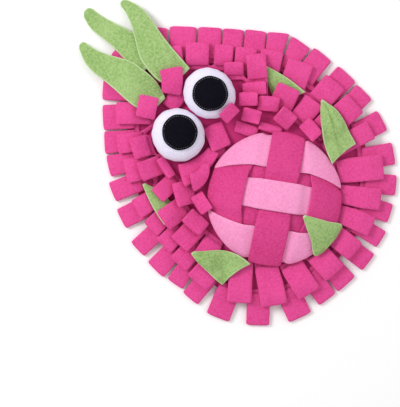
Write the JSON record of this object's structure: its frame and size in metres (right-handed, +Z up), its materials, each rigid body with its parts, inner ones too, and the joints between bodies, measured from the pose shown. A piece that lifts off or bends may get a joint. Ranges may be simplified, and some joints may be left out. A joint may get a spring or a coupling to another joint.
{
  "type": "snuffle mat",
  "caption": "Fruit-shaped fleece snuffle mat: rows of folded pink tabs, green crown leaves and scales, round eyes and a woven belly dome.",
  "frame": {"origin": "on the ground, at the middle of the mat's length and width, at the flat underside of the base sheet", "axes": "+Y towards the crown leaves, +Z up out of the face, +X to the right seen from above with the crown up"},
  "size_m": [0.2934, 0.4048, 0.0461],
  "materials": {
    "pink_fleece": "soft matt fleece with short pile",
    "light_pink_fleece": "soft matt fleece, pale pink",
    "green_fleece": "soft matt fleece, leaf green with pale cut edges",
    "white_knit": "fine white knit over a stuffed form",
    "black_plush": "short black plush, sewn round its rim",
    "base_felt": "flat felt backing"
  },
  "bodies": {
    "root": {"base_mat": "base_felt", "belly_dark_1": "pink_fleece", "belly_dark_2": "pink_fleece", "belly_dark_3": "pink_fleece", "belly_light_1": "light_pink_fleece", "belly_light_2": "light_pink_fleece", "belly_light_3": "light_pink_fleece", "belly_pad": "pink_fleece", "brow_loop_1": "pink_fleece", "brow_loop_2": "pink_fleece", "brow_loop_3": "pink_fleece", "crown_leaf_centre": "green_fleece", "crown_leaf_left": "green_fleece", "crown_leaf_right": "green_fleece", "eye_black_left": "black_plush", "eye_black_right": "black_plush", "eye_white_left": "white_knit", "eye_white_right": "white_knit", "face_loop_01": "pink_fleece", "face_loop_02": "pink_fleece", "face_loop_03": "pink_fleece", "face_loop_04": "pink_fleece", "face_loop_05": "pink_fleece", "face_loop_06": "pink_fleece", "face_loop_07": "pink_fleece", "face_loop_08": "pink_fleece", "face_loop_09": "pink_fleece", "face_loop_10": "pink_fleece", "face_loop_11": "pink_fleece", "face_loop_12": "pink_fleece", "face_loop_13": "pink_fleece", "face_loop_14": "pink_fleece", "face_loop_15": "pink_fleece", "face_loop_16": "pink_fleece", "face_loop_17": "pink_fleece", "scale_bottom": "green_fleece", "scale_lower_left": "green_fleece", "scale_lower_right": "green_fleece", "scale_upper_left": "green_fleece", "scale_upper_right": "green_fleece", "tab_row_1": "pink_fleece", "tab_row_2": "pink_fleece", "tab_row_3_left": "pink_fleece", "tab_row_3_right": "pink_fleece"}
  },
  "joints": []
}
